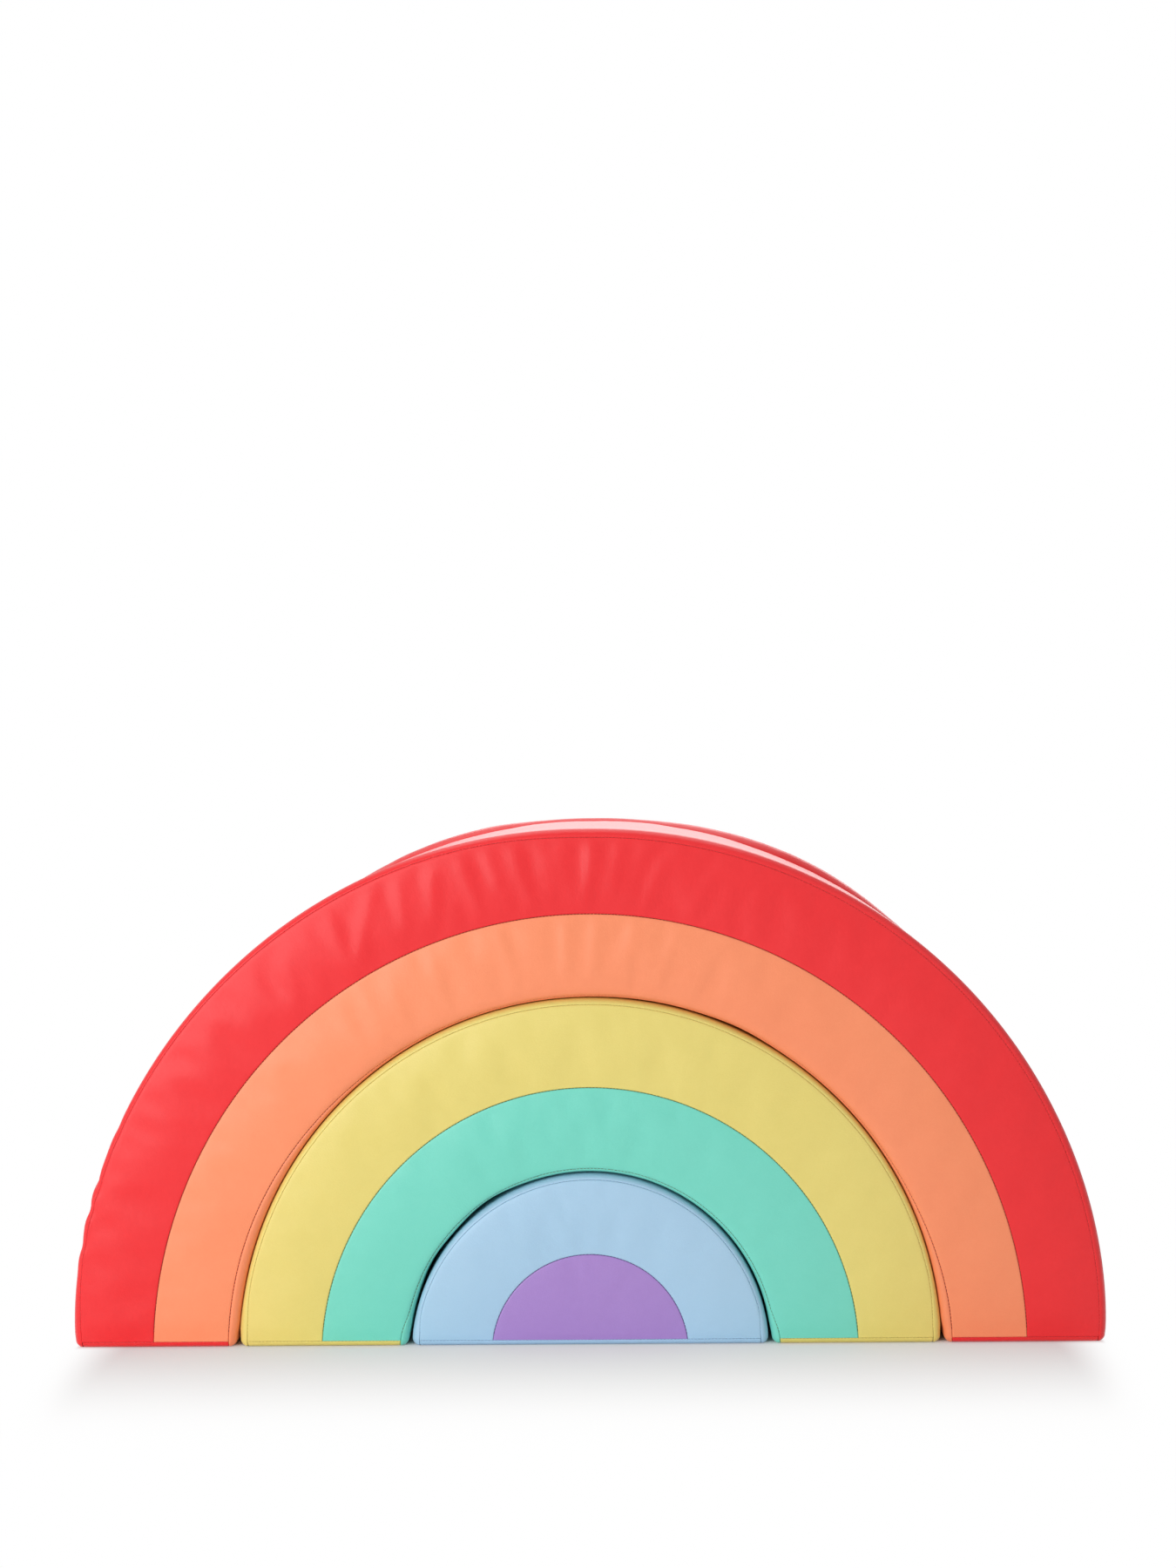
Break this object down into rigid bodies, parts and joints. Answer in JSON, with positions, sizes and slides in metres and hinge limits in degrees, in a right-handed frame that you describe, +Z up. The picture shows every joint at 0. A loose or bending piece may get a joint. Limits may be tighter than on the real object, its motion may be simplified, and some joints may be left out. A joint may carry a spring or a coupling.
{
  "type": "soft play rainbow",
  "caption": "Nesting soft play rainbow: foam arches and a half disc in sewn leather-look covers with zips, for toddlers to climb over, crawl through and stack.",
  "frame": {"origin": "on the floor, midway between the feet of the outer arch and midway from front to back", "axes": "+X to the right across the rainbow seen from the front, +Y from the front to the back, +Z up"},
  "size_m": [1.1998, 0.3, 0.6],
  "materials": {
    "red_cover": "satin",
    "orange_cover": "satin",
    "yellow_cover": "satin",
    "teal_cover": "satin",
    "blue_cover": "satin",
    "purple_cover": "satin",
    "foam": "matte",
    "zip_tape": "matte",
    "zip_metal": "satin",
    "thread": "matte"
  },
  "bodies": {
    "outer_arch": {"outer_arch_foam": "foam", "red_front_panel": "red_cover", "orange_front_panel": "orange_cover", "red_back_panel": "red_cover", "orange_back_panel": "orange_cover", "red_rim_gusset": "red_cover", "orange_inner_gusset_front": "orange_cover", "orange_inner_gusset_back": "orange_cover", "outer_arch_base_left": "red_cover", "outer_arch_base_right": "red_cover", "outer_zip_tape_front": "zip_tape", "outer_zip_tape_back": "zip_tape", "outer_zip_stop_left": "zip_metal", "outer_zip_stop_right": "zip_metal"},
    "outer_slider": {"outer_zip_slider": "zip_metal"},
    "middle_arch": {"middle_arch_foam": "foam", "yellow_front_panel": "yellow_cover", "teal_front_panel": "teal_cover", "yellow_back_panel": "yellow_cover", "teal_back_panel": "teal_cover", "yellow_rim_gusset": "yellow_cover", "teal_inner_gusset_front": "teal_cover", "teal_inner_gusset_back": "teal_cover", "middle_arch_base_left": "yellow_cover", "middle_arch_base_right": "yellow_cover", "middle_zip_tape_front": "zip_tape", "middle_zip_tape_back": "zip_tape", "middle_zip_stop_left": "zip_metal", "middle_zip_stop_right": "zip_metal"},
    "middle_slider": {"middle_zip_slider": "zip_metal"},
    "half_disc": {"half_disc_foam": "foam", "blue_front_panel": "blue_cover", "purple_front_panel": "purple_cover", "blue_back_panel": "blue_cover", "purple_back_panel": "purple_cover", "blue_rim_gusset": "blue_cover", "half_disc_base_front": "blue_cover", "half_disc_base_back": "blue_cover", "half_zip_tape_front": "zip_tape", "half_zip_tape_back": "zip_tape", "half_zip_stop_left": "zip_metal", "half_zip_stop_right": "zip_metal"},
    "half_disc_slider": {"half_zip_slider": "zip_metal"}
  },
  "joints": [
    {"name": "middle_arch_pull", "type": "slide", "parent": "outer_arch", "child": "middle_arch", "axis": [0, -1, 0], "range_m": [-0.36, 0.36]},
    {"name": "half_disc_pull", "type": "slide", "parent": "middle_arch", "child": "half_disc", "axis": [0, -1, 0], "range_m": [-0.36, 0.36]},
    {"name": "outer_zip_run", "type": "hinge", "parent": "outer_arch", "child": "outer_slider", "pos_m": [0, 0, -0.00604], "axis": [0, -1, 0], "range_deg": [0, 137.4]},
    {"name": "middle_zip_run", "type": "hinge", "parent": "middle_arch", "child": "middle_slider", "pos_m": [0, 0, -0.01025], "axis": [0, -1, 0], "range_deg": [0, 121]},
    {"name": "half_zip_run", "type": "slide", "parent": "half_disc", "child": "half_disc_slider", "axis": [-1, 0, 0], "range_m": [0, 0.306]}
  ]
}
